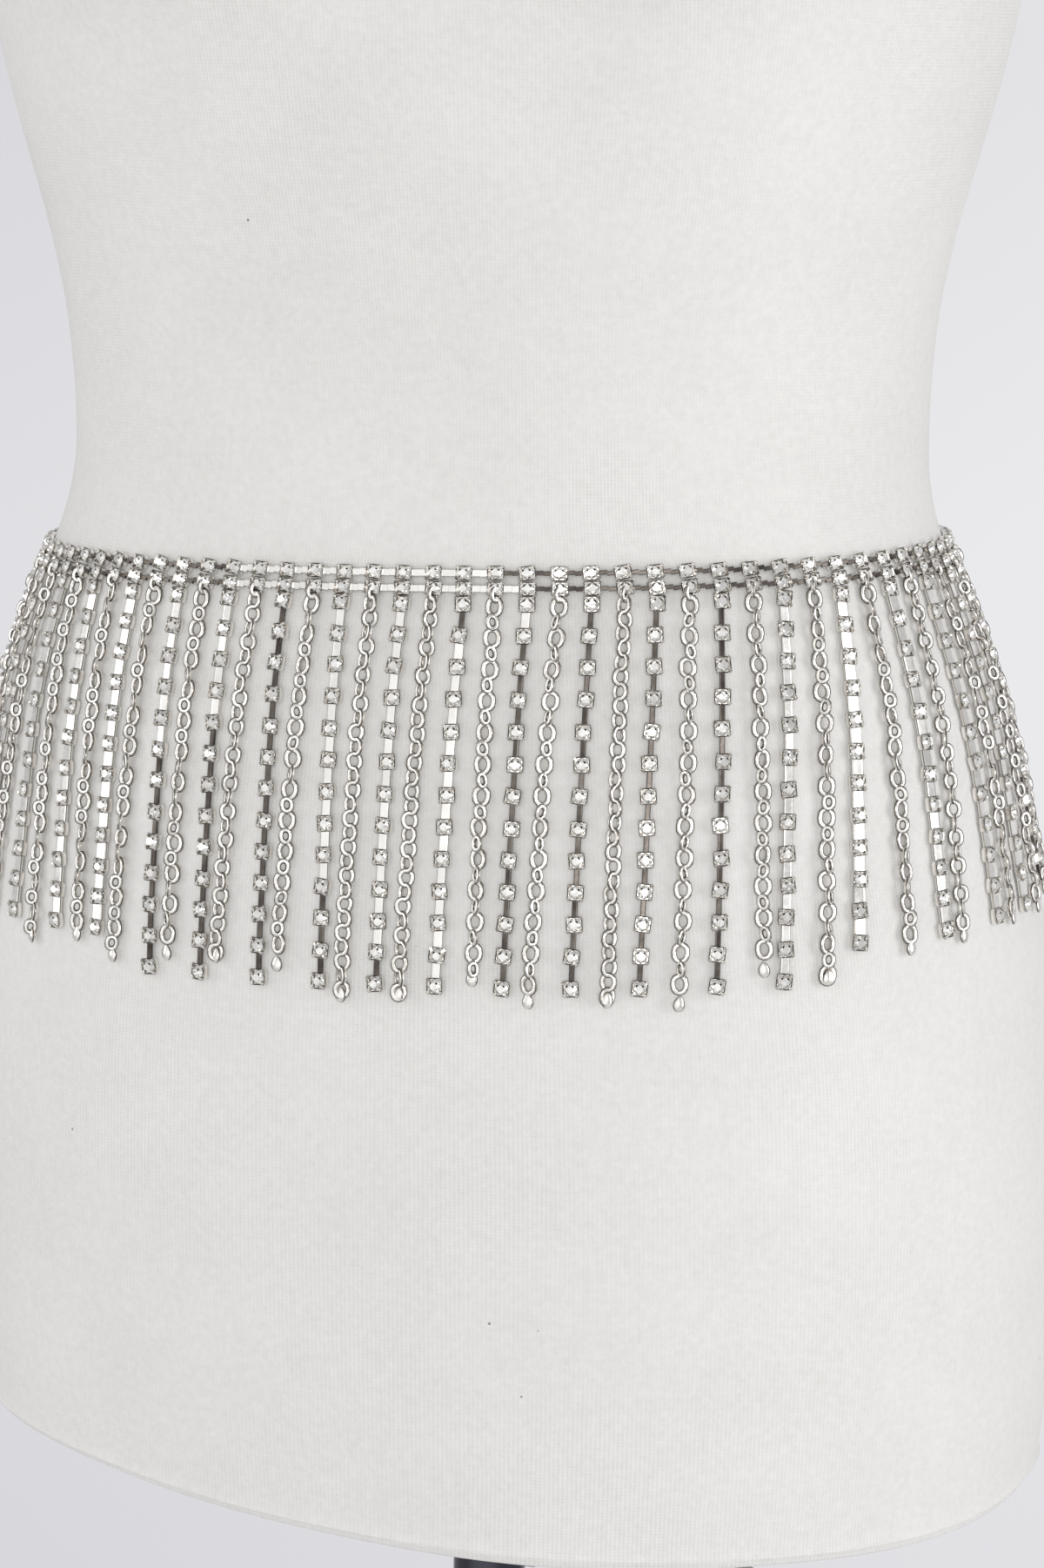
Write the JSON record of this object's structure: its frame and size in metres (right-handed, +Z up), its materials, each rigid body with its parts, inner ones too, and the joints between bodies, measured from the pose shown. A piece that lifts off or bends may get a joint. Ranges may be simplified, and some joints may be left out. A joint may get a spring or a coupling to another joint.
{
  "type": "rhinestone fringe belt on a limbless dress form with stand",
  "caption": "Silver cup-chain and link-chain fringe belt worn just under the waist of a jersey dress form on a round weighted stand.",
  "frame": {"origin": "centre of the stand base's underside, on the pole's axis", "axes": "+Z up along the pole, -Y towards the front of the dress form, +X towards its left hand side"},
  "size_m": [0.4, 0.4, 1.482],
  "materials": {
    "jersey": "fine off-white jersey",
    "cap_paint": "matte off-white",
    "dark_chrome": "polished dark chrome",
    "silver_chain": "bright silver plate with clear stones",
    "clasp_metal": "bright silver plate"
  },
  "bodies": {
    "root": {"torso": "jersey", "bottom_board": "jersey", "neck_cap": "cap_paint", "flange": "dark_chrome", "socket_tube": "dark_chrome", "pole": "dark_chrome", "base": "dark_chrome", "clamp_screw": "dark_chrome", "rail_upper": "silver_chain", "fringe_left_back": "silver_chain", "fringe_left_front": "silver_chain", "fringe_right_front": "silver_chain", "fringe_right_back": "silver_chain", "end_bar_left": "clasp_metal", "end_bar_right": "clasp_metal", "clasp": "clasp_metal", "extender_links": "clasp_metal", "extender_tail": "clasp_metal"}
  },
  "joints": []
}
